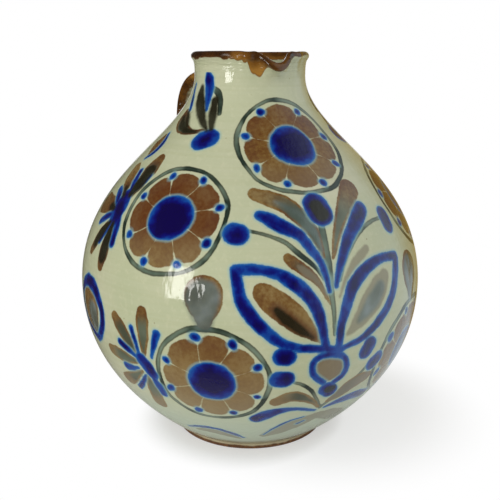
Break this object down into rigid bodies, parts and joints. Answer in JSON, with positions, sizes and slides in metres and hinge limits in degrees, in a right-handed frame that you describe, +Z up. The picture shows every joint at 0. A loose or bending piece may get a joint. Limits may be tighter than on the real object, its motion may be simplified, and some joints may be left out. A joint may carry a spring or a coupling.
{
  "type": "pottery jug",
  "caption": "Globular stoneware jug on a low foot ring, with a narrow collar, a rolled lip pinched into a spout and a strap handle behind; painted with leaves and rosettes under a pale glaze.",
  "frame": {"origin": "centre of the standing face, on the underside of the foot ring", "axes": "+Z up along the axis that the pot was turned on, +X the way the jug pours, handle on the -X side"},
  "size_m": [0.241, 0.241, 0.27],
  "materials": {
    "pale_glaze": "glossy pale grey-green glaze over painted leaves and rosettes",
    "brown_glaze": "glossy iron-brown glaze",
    "bare_clay": "matt unglazed fired clay"
  },
  "bodies": {
    "root": {"foot_ring": "bare_clay", "lower_bowl": "pale_glaze", "shoulder": "pale_glaze", "collar": "pale_glaze", "lip": "brown_glaze", "handle": "brown_glaze"}
  },
  "joints": []
}
